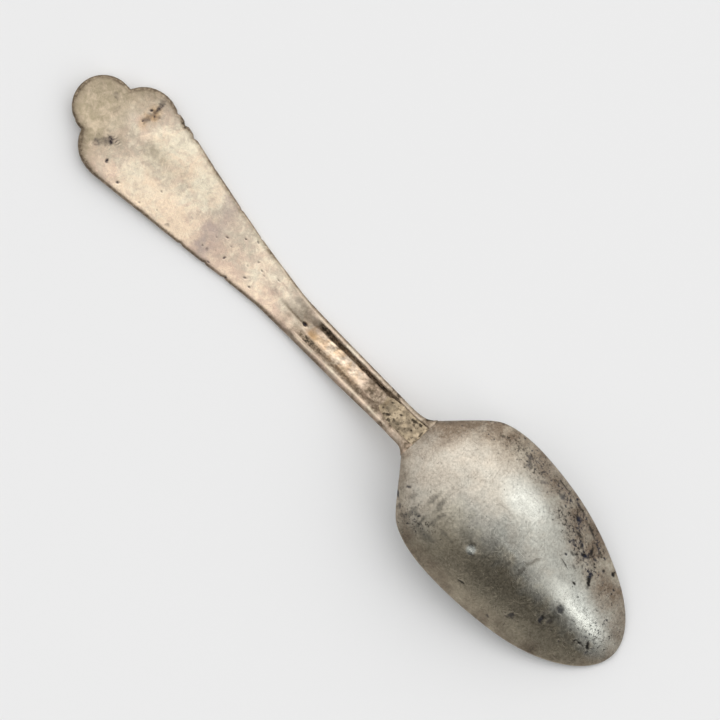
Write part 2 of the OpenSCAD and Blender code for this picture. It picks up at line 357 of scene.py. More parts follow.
def build_handle():
    xs = np.concatenate([LOBE_R * (1 - np.cos(np.linspace(0.0918, math.pi / 2, 46))),
                         np.linspace(4.8, 6.4, 20), np.linspace(6.5, 41, 230),
                         np.linspace(41.13, JOINT_X - JOIN_GAP, 240)])
    t = np.linspace(-1, 1, 111)
    s_back = 0.8 * t + 0.2 * np.sin(t * math.pi / 2)
    t = np.linspace(1, -1, 71)
    s_front = 0.7 * t + 0.3 * np.sin(t * math.pi / 2)
    X = np.repeat(xs[:, None], len(s_back), 1)
    wide = {1: nicked(xs, 1)[:, None], -1: nicked(xs, -1)[:, None]}
    U = np.where(s_back > 0, wide[1], wide[-1]) * s_back
    D = edge_distance(xs, U)
    E = edge_z(xs)[:, None]
    ZB = np.maximum(E + handle_back(X, U, D), 0.02)
    XF = np.repeat(xs[:, None], len(s_front), 1)
    UF = np.where(s_front > 0, wide[1], wide[-1]) * s_front
    DF = edge_distance(xs, UF)
    ZF = np.maximum(E + handle_front(XF, UF, DF, half(XF)), TABLE_GAP)
    rings = np.concatenate([place(X, U, ZB), place(XF, UF, ZF)], 1)
    masks = handle_masks(X, U, D)
    front = front_masks(XF, UF, DF)
    attrs = {k: np.concatenate([masks[k], front[k]], 1) for k in masks}
    return skin("handle_silver", rings, attrs, "handle")


def handle_masks(x, u, d):
    """Where the back of the handle is grey, mauve, warm, light, rusty, or dark with grime and painted shade;
    the channel's rims also get a painted highlight.
    """
    depth = channel_depth(x, u)
    deep = ramp(0.05, 0.7, depth / FLOOR_D)
    n1, n2, n3 = noise(x, u, 2.8, 31, 4), noise(x, u, 1.1, 32, 3), noise(x, u, 0.45, 33, 3)
    # lobes greyish, blade cream at its sides and greyer along its middle, a mauve band, then tan
    grey = 1 - ramp(6.5, 12.5, x + 1.3 * n1 + 0.8 * n2)
    grey = np.maximum(grey - 0.35 * bell(x, 8.3, 2.2) * bell(u, 1.5, 2.5), 0)
    middle = 0.45 * bell(u, 0.9, 1.7) * ramp(11, 14, x) * (1 - ramp(18, 23, x))
    grey = np.maximum(grey, middle * (0.8 + 0.7 * n2))
    mauve = 0.7 * bell(x + 0.9 * n2 + 0.3 * u, 29.0, 1.5) * (0.85 + 0.5 * n2)
    light = (0.7 * bell(np.abs(u), 3.8, 2.0) + 0.5) * ramp(10.5, 15, x + n1) * (1 - ramp(25.5, 29, x + n2))
    light = np.maximum(light, 0.8 * bell(x, 38.5, 3.8) * ramp(-1.4, 1.4, np.abs(u)) * (0.7 + 0.4 * n1))
    light = light + 1.0 * spot(x, u, 17.0, 3.3, 2.6, 2.2) + 0.3 * spot(x, u, 22.5, -1.5, 4.0, 2.5) + 0.4 * n2
    warm = 0.3 + 0.6 * ramp(0.5, -3.0, u) * ramp(10, 15, x) + 0.35 * n1
    # in the channel: pale warm floor, brown lower wall, and a black band under the upper rim that is painted
    # shade on the upper wall with some tarnish
    stem = ramp(43.2, 46.8, x)
    far = ramp(59, 61.5, x)
    # painted shade: the upper wall faces away from the light, so it is painted black, with some tarnish
    band = ramp(1.3, 0.7, np.abs(u - 1.66 + 0.12 * n2) / (0.3 + 0.2 * bell(x, 51.2, 2.4)))
    band = band * ramp(48.2, 50.2, x + 0.8 * u - 1.3) * (1 - ramp(65.5, 67.5, x))
    band = band * (0.73 + 0.06 * bell(x, 51, 2) + 0.1 * n1)
    lower = ramp(-0.3 + 0.5 * ramp(49.5, 57, x), -1.05, u) * ramp(-1.95, -1.6, u) * ramp(45, 48.5, x)
    lower = lower * (0.64 + 0.12 * bell(x, 49.8, 2.5) + 0.08 * n1) * (1 - 0.3 * ramp(60, 63, x))
    blotch = 0.85 + 0.5 * noise(x, u * 0.7, 1.1, 34, 3)
    blotch = np.clip(blotch - 0.35 * bell(x, 49.4, 1.2) - 0.9 * far, 0, 1)
    floor = 0.42 - 0.42 * blotch + 0.19 * far + 0.08 * n2
    grime = stem * (0.3 + 0.25 * n2) * (1 - deep) + deep * floor
    grime = np.maximum(grime, stem * lower)
    groove = 0.62 * bell(u, 0.08, 0.32) * ramp(41, 46, x) * (1 - ramp(47.6, 48.6, x))
    grime = np.maximum(np.maximum(grime, groove), band)
    # the worn crests of the channel's two rims, lightened also as a painted highlight
    crest_wear_and_highlight = bell(u, -1.92 - 0.22 * bell(x, 49.5, 3.5), 0.16) * ramp(46, 49, x)
    crest_wear_and_highlight = crest_wear_and_highlight * (1 - ramp(65, 69, x)) * (1 - 0.25 * ramp(56, 60, x))
    crest_wear_and_highlight = np.maximum(crest_wear_and_highlight, 0.35 * bell(u, 2.42, 0.2) * ramp(46, 49, x) * (1 - ramp(62, 66, x)))
    warm = warm + 0.7 * deep
    inside = (0.75 - 0.15 * ramp(57, 60, x)) * blotch * deep
    # painted highlight on the rim crests, on top of their wear
    light = np.where(depth > 0.2, inside, light * (1 - ramp(44, 47, x))) + 0.9 * crest_wear_and_highlight
    # edges darker, more on the lobes and towards the bowl
    edge = ramp(0.85, 0.1, d) * (0.56 + 0.2 * n1)
    edge = edge + 0.38 * ramp(2.0, 0.3, d) * ramp(14, 10, x) * (0.8 + 0.6 * n1)
    grime = np.maximum(grime * (1 - 0.85 * crest_wear_and_highlight), np.minimum(edge, 0.66) * (1 - 0.8 * crest_wear_and_highlight))
    grime = np.maximum(grime, ramp(66.5, 69, x) * ramp(1.2, 1.6, u) * (0.55 + 0.3 * n2))
    # painted shade on the stem's -Y outer side, which faces away from the light
    grime = np.maximum(grime, stem * 0.36 * ramp(-2.1, -2.45, u))
    grime = np.maximum(grime, 0.5 * ramp(69.8, 71.0, x) * ramp(1.4, 2.3, u))
    grime = np.maximum(grime, 0.8 * ramp(0.9, 0.25, d) * bell(x, 14.7, 2.6) * ramp(0, 1, u))
    brown = ramp(59, 65, x + 0.8 * n2) * (0.58 + 0.3 * n2) * (1 - 0.7 * crest_wear_and_highlight) * (1 - 0.3 * deep)
    grime = np.maximum(grime, brown)
    smudge = marks(x, u, BLADE_SMUDGES, 92)
    hatch = ramp(0.0, 0.8, np.cos(WAVE * (x - 0.2 * u) / 0.42)) * spot(x, u, 9.6, -2.1, 1.3, 0.8)
    pit = np.maximum(np.maximum(marks(x, u, BLADE_PITS), smudge * (0.85 + 0.5 * n3)), 0.8 * hatch)
    rust = spot(x, u, 10.5, 4.0, 1.6, 2.8, 5) * ramp(-1.1, 0.4, n2)
    rust = rust + 0.35 * spot(x, u, 14.2, 5.3, 1.6, 0.9) * ramp(-0.3, 0.4, n2)
    stain = 0.5 * ramp(0.0, 0.5, noise(x, u, 0.9, 35, 3)) + 0.7 * spot(x, u, 49.6, -0.3, 1.6, 0.8)
    rust = rust + deep * stain * (1 - ramp(56, 62, x))
    return {"grey": grey, "mauve": mauve, "warm": warm, "light": light, "rust": rust, "grime": grime,
            "pit": pit}


def front_masks(x, u, d):
    """The same masks for the front: worn crests and dirt between them."""
    z = ornament(x, u, d)
    n1 = noise(x, u, 2.6, 41, 3)
    light = 0.5 * ramp(0.15, 0.35, z) * ramp(46, 40, x) + 0.2
    grime = 0.75 * ramp(0.2, 0.0, z) * (1 - ramp(42, 47, x)) * ramp(0.2, 0.6, d)
    return {"grey": 0.5 + 0.3 * n1, "warm": 0.5 + 0 * x, "mauve": 0 * x, "rust": 0 * x, "light": light,
            "grime": np.clip(grime + 0.15 * n1, 0, 1), "pit": 0 * x}


# ---------------------------------------------------------------- bowl
# Dark marks on the bowl's back, most of them near its +Y side and tip
BOWL_MARKS = [(103.3, 5.0, 1.1, 0.32, -54, 1.0), (102.1, 3.0, 0.4, 0.24, 0, 1.0),
              (104.0, 2.1, 0.2, 0.18, 0, 0.8), (105.3, 8.1, 0.5, 0.26, -20, 1.0),
              (103.9, 7.4, 0.3, 0.2, 20, 0.8), (107.0, 6.6, 0.2, 0.16, 0, 0.8),
              (107.2, 6.0, 0.18, 0.16, 0, 0.8), (101.8, 7.5, 0.4, 0.25, 10, 0.8),
              (100.6, 7.9, 0.6, 0.32, -60, 0.9), (100.1, 6.7, 0.65, 0.28, 20, 1.0),
              (98.9, 7.5, 0.55, 0.26, -30, 0.9), (99.3, 6.0, 0.42, 0.22, 40, 0.8),
              (97.4, 8.1, 0.5, 0.24, 0, 0.8), (95.7, 9.5, 0.65, 0.32, -10, 0.9),
              (96.6, 8.5, 0.5, 0.22, 15, 0.7), (98.2, 4.8, 0.26, 0.2, 0, 0.9),
              (99.0, 3.8, 1.2, 0.09, -10, 0.8), (102.6, -3.9, 0.45, 0.8, 25, 0.85),
              (102.9, -3.2, 0.3, 0.6, -10, 0.6), (103.6, -1.1, 0.4, 0.5, 30, 0.65),
              (103.7, -3.4, 0.4, 0.75, -10, 0.6), (104.9, -4.0, 0.26, 0.2, 40, 0.8),
              (106.9, -4.3, 0.16, 0.16, 0, 0.8), (108.4, -2.6, 0.25, 0.46, -25, 0.95),
              (109.1, -2.3, 0.46, 0.22, 15, 0.95), (110.3, -1.8, 0.85, 0.3, -42, 1.0),
              (110.9, -2.4, 0.2, 0.34, 0, 0.7), (99.2, -7.0, 0.4, 0.65, -30, 0.7),
              (90.8, -9.2, 0.62, 0.14, 12, 0.8), (97.1, -9.7, 0.4, 0.2, 0, 0.5),
              (75.5, -5.9, 0.44, 0.12, 40, 0.7), (75.2, -7.7, 0.6, 0.16, -42, 0.8),
              (74.3, 5.8, 0.22, 0.17, 0, 0.6), (107.5, 2.8, 0.22, 0.15, 0, 0.5),
              (85.2, 9.5, 0.8, 0.35, -20, 0.55), (84.2, 10.2, 0.5, 0.3, 30, 0.5),
              (88.2, 9.2, 0.5, 0.3, 20, 0.4), (90.8, 11.2, 1.5, 0.16, -4, 0.7),
              (91.9, 9.9, 0.6, 0.3, 10, 0.6), (94.8, 10.8, 1.0, 0.18, -12, 0.7),
              (98.6, 9.8, 1.6, 0.22, -16, 0.8), (100.9, 9.0, 1.0, 0.2, -22, 0.7),
              (92.8, 8.8, 0.4, 0.25, 0, 0.5), (94.1, 8.3, 0.4, 0.2, 30, 0.5),
              (97.6, 6.9, 0.4, 0.2, -30, 0.6), (101.2, 5.5, 0.3, 0.18, -50, 0.6),
              (100.4, 4.5, 0.25, 0.15, 0, 0.5), (98.6, 5.6, 0.3, 0.2, 0, 0.6),
              (79.5, 9.4, 0.5, 0.25, 20, 0.4), (76.6, -8.6, 0.5, 0.25, -40, 0.5),
              (78.0, -9.2, 0.6, 0.25, 0, 0.4), (106.0, 4.6, 0.16, 0.14, 0, 0.6)]
# Soft grey smears, which also paint shade over the bowl's dim -Y half near the heel
BOWL_SMEARS_AND_SHADE = [(95.8, 0.9, 0.25, 1.0, -12, 0.6), (95.5, -2.0, 0.35, 1.7, 8, 0.6),
               (93.3, -2.0, 0.35, 1.1, 0, 0.5), (86.0, -4.0, 1.5, 1.2, 0, 0.4),
               (80.5, -4.0, 0.5, 1.7, 10, 0.6), (79.2, -4.4, 0.45, 1.5, 0, 0.55),
               (84.3, -6.5, 1.6, 0.35, 5, 0.5), (79.0, -7.5, 0.9, 0.45, -20, 0.6),
               (82.2, -8.6, 1.6, 0.6, 5, 0.6), (78.4, -8.0, 0.4, 1.9, 0, 0.65),
               (80.4, -8.4, 0.35, 1.9, 4, 0.65), (76.9, -6.2, 0.35, 1.2, -20, 0.5),
               (81.6, -6.2, 0.35, 1.6, 0, 0.5), (103.6, -2.2, 0.8, 2.2, 12, 0.45)]


def bowl_back(x, v):
    """Height of the bowl's back above its edge."""
    k = 1 - ramp(JOINT_X, 77, x)
    u = half(JOINT_X) * np.abs(v)
    lip = RIM_T + 0.65 * quarter(half(JOINT_X) - u, 0.85)
    end = ramp(105, 112, x)               # the ridge is rounded off, most of all at the tip
    soft, p = 0.02 + 0.25 * end, (power(x) + 0.3 * end) / 2
    across = ((v * v + soft) ** p - soft ** p) / ((1 + soft) ** p - soft ** p)
    return RIM_T + (lip - RIM_T) * k + (curve(DOME_D, x) - 0.2 * ramp(73, JOINT_X, x)) * (1 - across)


def bowl_sheet(x, v):
    """The wall measured upright, which is thicker where the bowl is steep."""
    s = curve(DOME_D, x) * power(x) * np.abs(v) ** (power(x) - 1) / half(x)
    return BOWL_T * np.sqrt(1 + s * s)


def bowl_front(x, v):
    """Height of the bowl's hollow side above its edge."""
    return (-0.5 * (1 - v * v) * (1 - ramp(JOINT_X, 76, x))
            + ramp(73, 78, x) * smax(bowl_back(x, v) - bowl_sheet(x, v), 0, 0.06))


def dents(x, u):
    """Slight unevenness, one ding and one shallow dent."""
    z = 0.07 * noise(x, u, 7, 51, 2) + 0.018 * noise(x, u, 2.2, 52, 2) + 0.005 * noise(x, u, 0.7, 53, 2)
    ding = 0.45 * (u + 5.1) * spot(x, u, 88.2, -5.1, 1.1, 1.0)
    return z - ding - 0.05 * spot(x, u, 97.5, -1.0, 3.0, 1.6, 40)


def build_bowl():
    xs = np.concatenate([np.linspace(JOINT_X, 78, 50), np.linspace(78.14, 108, 214),
                         108.13 + (SPOON_L - 108.13) * np.sin(np.linspace(0.01, math.pi / 2, 46))])
    t = np.linspace(-1, 1, 205)
    vb = 0.72 * t + 0.28 * np.sin(t * math.pi / 2)
    t = np.linspace(1, -1, 107)
    vf = 0.6 * t + 0.4 * np.sin(t * math.pi / 2)
    X, V = np.meshgrid(xs, vb, indexing="ij")
    XF, VF = np.meshgrid(xs, vf, indexing="ij")
    H, E = half(X), edge_z(X)
    U = V * H
    inset = np.minimum(H - np.abs(U), np.where(X > 112, SPOON_L - X + 0.4 * H, 9))
    ZB = E + bowl_back(X, V) + dents(X, U) * ramp(0.1, 1.5, H - np.abs(U)) * ramp(72, 75, X)
    ZB = ZB - 0.14 * (1 - quarter(inset, 0.16)) - MARK_D * marks(X, U, BOWL_MARKS)
    HF = half(XF)
    lip = 0.14 * (1 - quarter(HF - np.abs(VF * HF), 0.16))
    ZF = edge_z(XF) + bowl_front(XF, VF) + lip * ramp(72, 74, XF)
    ZF = np.maximum(ZF, TABLE_GAP)
    body = np.concatenate([place(X, U, ZB), place(XF, VF * HF, ZF)], 1)
    tongue = []
    for x in (TONGUE_X, JOINT_X):
        xb, xf = np.full(len(vb), x), np.full(len(vf), x)
        tongue.append(np.concatenate([place(xb, vb * TONGUE_HALF, edge_z(xb) + TONGUE_TOP),
                                      place(xf, vf * TONGUE_HALF, edge_z(xf) + TONGUE_LOW)]))
    rings = np.concatenate([np.array(tongue), body])
    masks = bowl_masks(X, U, H)
    inner = {k: 0 * XF for k in masks}
    inner["tarnish"] = 0.15 + 0.3 * noise(XF, VF * HF, 6, 71, 3)
    # the hollow side is evenly a little lighter
    inner["polish_and_highlight"] = 0.4 + 0 * XF
    pad = np.zeros((2, rings.shape[1]))
    attrs = {k: np.concatenate([pad, np.concatenate([masks[k], inner[k]], 1)]) for k in masks}
    return skin("bowl_silver", rings, attrs, "bowl")


def bowl_masks(x, u, h):
    """Where the back of the bowl is brown or tinted as painted shade, speckled black, smeared grey or
    darkened as painted shade, or lightened by painted highlights.
    """
    d = h - np.abs(u)
    n1, n2 = noise(x, u, 5, 61, 4), noise(x, u, 1.3, 62, 3)
    up = ramp(-2, 2, u)
    reach = 3.2 + up * (2.3 * ramp(71, 78, x) - 0.9 * ramp(83, 88, x) + 2.4 * ramp(90, 103, x))
    edge = ramp(1.1, 0.15, d / reach) * (0.55 + 0.33 * up) * (0.5 + 0.5 * ramp(72, 78, x))
    edge = edge * (1 - up * (0.28 * bell(x, 87.5, 4) + 0.4 * ramp(105, 110, x) + 0.3 * bell(x, 76, 1.6)))
    tarnish = edge * (0.9 + 0.4 * n1 + 0.4 * n2) + 0.12 * n1 + 0.24 * ramp(78, 72.5, x) * (0.9 + 0.6 * n2)
    tarnish = tarnish + 0.3 * spot(x, u, 74, 3.5, 3.0, 2.5) + 0.18 * spot(x, u, 80.5, 6.8, 4.5, 3.0)
    tarnish = tarnish + 0.3 * spot(x, u, 73, 1.8, 2.6, 3.0) + 0.15 * spot(x, u, 97, -10, 6, 3)
    tarnish = tarnish + 0.14 * spot(x, u, 97, 0.5, 5, 2.4)
    tarnish = tarnish + 0.3 * spot(x, u, 79.4, 10.4, 2.6, 1.8)
    band = ramp(0.2, 1.2, d) * ramp(6.8, 3.0, d) * up * ramp(88, 94, x) * (1 - ramp(102, 106, x))
    speck = 0.95 * band * (0.8 + 0.6 * n2) + 0.5 * edge * up * (0.8 + 0.8 * n2)
    speck = speck + 0.85 * spot(x, u, 80.0, -8.0, 5.5, 2.8) + 0.8 * spot(x, u, 85.0, 10.0, 6.5, 2.4)
    speck = speck + 0.7 * spot(x, u, 92.0, 10.6, 3.5, 1.8) + 0.6 * spot(x, u, 110.5, -1.0, 4.5, 6)
    speck = speck + 0.25 * spot(x, u, 108, 0.5, 5, 5) + 0.3 * spot(x, u, 98, -7.5, 8, 2.5)
    # grey smears, partly painted shade on the dim -Y half
    smear_and_shade = marks(x, u, BOWL_SMEARS_AND_SHADE, 93) + 0.1 * n2
    # painted highlights: the tip ridge, the +Y flank, a patch on the -Y half and the far side of the ding
    polish_and_highlight = spot(x, u, 106.6, 1.3, 7.5, 3.4) + 0.3 * spot(x, u, 86.5, -2.6, 7.0, 4.2)
    polish_and_highlight = polish_and_highlight + 0.75 * spot(x, u, 88.6, 5.4, 5.5, 3.0) + 1.5 * spot(x, u, 88.2, -5.1, 0.95, 0.9)
    warm = ramp(96, 76, x + 3 * n1 - 0.4 * u) * 0.9 + 0.5 * edge + 0.2 * n2
    # painted shade: a warmer, darker tint over the dim -Y half, with tarnish at the edges
    shade_tint_and_tarnish = ramp(-0.5, -4.5, u + n2) * ramp(76, 86, x) + 0.6 * edge
    return {"tarnish": tarnish, "speck": speck, "mark": marks(x, u, BOWL_MARKS), "smear_and_shade": smear_and_shade,
            "polish_and_highlight": polish_and_highlight, "warm": warm, "shade_tint_and_tarnish": shade_tint_and_tarnish}


# ---------------------------------------------------------------- solder
# Pores in the solder
SOLDER_PITS = [(65.0, 1.1, 0.22, 0.16, 20, 0.7), (65.8, -0.6, 0.5, 0.25, 30, 1.0),
               (66.3, -1.1, 0.3, 0.3, 0, 1.0), (66.9, -0.5, 0.24, 0.16, 0, 0.7),
               (67.2, 0.7, 0.22, 0.15, 40, 0.7), (66.4, 0.2, 0.16, 0.13, 0, 0.6),
               (68.4, -1.0, 0.22, 0.15, 0, 0.5), (69.2, 1.4, 0.6, 0.2, 10, 1.0),
               (70.2, 1.5, 0.4, 0.18, -15, 0.9), (69.8, 0.1, 0.15, 0.12, 0, 0.5),
               (70.6, -0.8, 0.15, 0.12, 0, 0.5), (64.6, -0.4, 0.18, 0.15, 0, 0.6),
               (71.2, 0.4, 0.14, 0.65, 0, 0.8)]


def build_solder():
    xs = np.linspace(64, JOINT_X - JOIN_GAP, 100)
    t = np.linspace(-1, 1, 61)
    X, T = np.meshgrid(xs, t, indexing="ij")
    U = CHANNEL_Y + T * np.where(T > 0, 1.6, 1.85)
    low = edge_z(X) + thick(X) - channel_depth(X, U) - 0.06
    over = (np.abs(U) < TONGUE_HALF + 0.05) & (X > TONGUE_X - 0.05)     # on top of the tongue
    fill = 0.16 + 0.78 * ramp(63.5, 66.8, X + 0.5 * noise(X, U, 1.2, 81, 2))
    hole = marks(X, U, SOLDER_PITS, 94)
    top = edge_z(X) + fill + 0.06 * noise(X, U, 0.9, 82, 3) - 0.16 * T ** 6 - 0.1 * hole
    low = np.where(over, edge_z(X) + TONGUE_TOP + 0.02, low)
    top = np.maximum(top, low + 0.02)
    rings = np.concatenate([place(X, U, top), place(X, U, low)[:, ::-1]], 1)
    grime = 0.22 + 0.5 * noise(X, U, 0.7, 83, 3) + 0.9 * hole
    grime = np.concatenate([grime, 0 * grime], 1)
    return skin("heel_solder_fill", rings, {"grime": grime}, "heel_solder")


# ---------------------------------------------------------------- materials
# The bowl's colours
# the umber tint paints shade over the bowl's dim -Y half
COOL, WARM, UMBER_SHADE_TINT = (0.455, 0.45, 0.40), (0.50, 0.445, 0.37), (0.47, 0.41, 0.305)
# the bright silver paints highlights on the bowl's back and evenly lightens its hollow side
# the smear grey also paints shade
POLISHED_HIGHLIGHT, SMEAR_AND_SHADE_GREY, TARNISH = (0.66, 0.67, 0.61), (0.16, 0.15, 0.125), (0.215, 0.165, 0.12)
BROWN_BLACK, BLUE_BLACK = (0.03, 0.027, 0.024), (0.022, 0.025, 0.04)
# The handle's colours: dull and light metal, each cooler and warmer, then its stains, whose two darks also
# serve as painted shade
DULL, DULL_WARM = (0.67, 0.575, 0.455), (0.76, 0.585, 0.46)
LIGHT, LIGHT_WARM = (0.97, 0.87, 0.68), (0.99, 0.8, 0.6)
GREY, GREY_LIGHT, MAUVE = (0.48, 0.4, 0.275), (0.68, 0.56, 0.41), (0.5, 0.4, 0.355)
RUST, DIRT_AND_SHADE, SOOT_AND_SHADE = (0.62, 0.37, 0.155), (0.19, 0.145, 0.1), (0.035, 0.028, 0.022)
PIT_BLACK = (0.05, 0.04, 0.045)
# The solder's colours
SOLDER_DARK, SOLDER_LIGHT = (0.3, 0.235, 0.155), (0.56, 0.455, 0.32)
PORE, SOLDER_GRIME = (0.09, 0.07, 0.05), (0.06, 0.047, 0.033)


class Mat:
    """A thin helper for node materials: each call adds a node and returns its output."""

    def __init__(self, name):
        self.m = bpy.data.materials.new(name)
        self.m.use_nodes = True
        self.t = self.m.node_tree
        self.b = self.t.nodes["Principled BSDF"]
        self.mm = self.vec("SCALE", self.add("ShaderNodeTexCoord").outputs["Object"], scale=1000.0)

    @classmethod
    def on_world(cls, world):
        self = cls.__new__(cls)
        world.use_nodes = True
        self.t = world.node_tree
        return self

    def add(self, kind, **props):
        n = self.t.nodes.new(kind)
        for k, v in props.items():
            setattr(n, k, v)
        return n

    def put(self, sock, val):
        if isinstance(val, bpy.types.NodeSocket):
            self.t.links.new(val, sock)
        elif val is not None:
            sock.default_value = val

    def vec(self, op, a, b=None, scale=None):
        n = self.add("ShaderNodeVectorMath", operation=op)
        self.put(n.inputs[0], a)
        if b is not None:
            self.put(n.inputs[1], b)
        if scale is not None:
            self.put(n.inputs["Scale"], scale)
        return n.outputs[0]

    def math(self, op, a, b=0.5, clamp=False):
        n = self.add("ShaderNodeMath", operation=op, use_clamp=clamp)
        self.put(n.inputs[0], a)
        self.put(n.inputs[1], b)
        return n.outputs[0]

    def noise(self, scale, detail=4.0, rough=0.55, warp=0.0, stretch=None, turn=0.0):
        v = self.mm
        if stretch:
            n = self.add("ShaderNodeMapping", vector_type="TEXTURE")
            self.put(n.inputs["Vector"], v)
            n.inputs["Rotation"].default_value = (0, 0, math.radians(turn))
            n.inputs["Scale"].default_value = stretch
            v = n.outputs[0]
        n = self.add("ShaderNodeTexNoise")
        self.put(n.inputs["Vector"], v)
        n.inputs["Scale"].default_value = scale
        n.inputs["Detail"].default_value = detail
        n.inputs["Roughness"].default_value = rough
        n.inputs["Distortion"].default_value = warp
        return n.outputs["Fac"]

    def ramp(self, fac, lo, hi, a=0.0, b=1.0, smooth=True):
        n = self.add("ShaderNodeMapRange", interpolation_type="SMOOTHSTEP" if smooth else "LINEAR")
        self.put(n.inputs["Value"], fac)
        for key, val in zip(("From Min", "From Max", "To Min", "To Max"), (lo, hi, a, b)):
            n.inputs[key].default_value = val
        return n.outputs["Result"]

    def mix(self, fac, a, b, mode="MIX"):
        n = self.add("ShaderNodeMix", data_type="RGBA", blend_type=mode)
        self.put(n.inputs[0], fac)
        self.put(n.inputs[6], (*a, 1) if isinstance(a, tuple) else a)
        self.put(n.inputs[7], (*b, 1) if isinstance(b, tuple) else b)
        return n.outputs[2]

    def attr(self, name):
        return self.add("ShaderNodeAttribute", attribute_name=name).outputs["Fac"]

    def bump(self, height, strength, dist, normal=None):
        n = self.add("ShaderNodeBump")
        self.put(n.inputs["Height"], height)
        n.inputs["Strength"].default_value = strength
        n.inputs["Distance"].default_value = dist * MM
        if normal is not None:
            self.put(n.inputs["Normal"], normal)
        return n.outputs[0]

    def hairlines(self, seed=0):
        """Fine scratches in several directions, 0 to 1."""
        total = None
        for turn, scale in ((3, 1.0), (49, 1.25), (92, 0.9), (131, 1.1)):
            line = self.noise(1.0, 2, 0.6, 0.05, (2.2 / scale, 0.17 / scale, 1.0), turn + seed)
            line = self.ramp(line, 0.6, 0.72)
            total = line if total is None else self.math("ADD", total, line, True)
        return total


def silver_bowl():
    k = Mat("worn_silver_bowl")
    tarnish, speck, mark, smear_and_shade = (k.attr(a) for a in ("tarnish", "speck", "mark", "smear_and_shade"))
    polish_and_highlight, warm, shade_tint_and_tarnish = (k.attr(a) for a in ("polish_and_highlight", "warm", "shade_tint_and_tarnish"))
    grain = k.noise(2.5, 4, 0.74)
    fleck = k.noise(2.4, 5, 0.75)
    cloud = k.noise(0.45, 4, 0.6, 0.5)
    hair, dark_hair = k.hairlines(), k.hairlines(7)
    col = k.mix(warm, COOL, WARM)
    # painted shade tint on the dim -Y half, and edge tarnish
    col = k.mix(shade_tint_and_tarnish, col, UMBER_SHADE_TINT)
    # painted highlights, and the evenly lighter hollow side
    col = k.mix(polish_and_highlight, col, POLISHED_HIGHLIGHT)
    # grey smears that also paint shade
    col = k.mix(smear_and_shade, col, SMEAR_AND_SHADE_GREY)
    stain = k.math("MULTIPLY", tarnish, k.ramp(fleck, 0.25, 0.65, 0.65, 1.25), True)
    col = k.mix(stain, col, TARNISH)
    tone = k.math("ADD", k.ramp(grain, 0.32, 0.68, 0.76, 1.13), k.ramp(cloud, 0.3, 0.7, -0.07, 0.07))
    tone = k.math("ADD", tone, k.math("MULTIPLY", hair, 0.15))
    tone = k.math("SUBTRACT", tone, k.math("MULTIPLY", dark_hair, 0.24))
    col = k.vec("SCALE", col, scale=tone)
    # the denser the mask, the more of the fine noise turns black
    dots = k.ramp(k.math("ADD", k.noise(2.0, 5, 0.8), k.math("MULTIPLY", speck, 0.12)), 0.63, 0.68)
    dots = k.math("MULTIPLY", dots, 0.85)
    mark = k.math("MAXIMUM", dots, k.math("MULTIPLY", mark, k.ramp(fleck, 0.25, 0.5, 0.6, 1.1), True))
    black = k.mix(k.ramp(cloud, 0.48, 0.56), BROWN_BLACK, BLUE_BLACK)
    k.put(k.b.inputs["Base Color"], k.mix(mark, col, black))
    rough = k.math("ADD", k.ramp(grain, 0.3, 0.75, 0.3, 0.42), k.math("MULTIPLY", stain, 0.12))
    rough = k.math("SUBTRACT", rough, k.math("MULTIPLY", polish_and_highlight, 0.1))
    k.put(k.b.inputs["Roughness"], k.math("ADD", rough, k.math("MULTIPLY", mark, 0.25), True))
    k.b.inputs["Metallic"].default_value = 1.0
    nrm = k.bump(grain, 0.6, 0.035)
    nrm = k.bump(hair, 0.4, 0.02, nrm)
    k.put(k.b.inputs["Normal"], k.bump(mark, 0.5, -0.05, nrm))
    return k.m


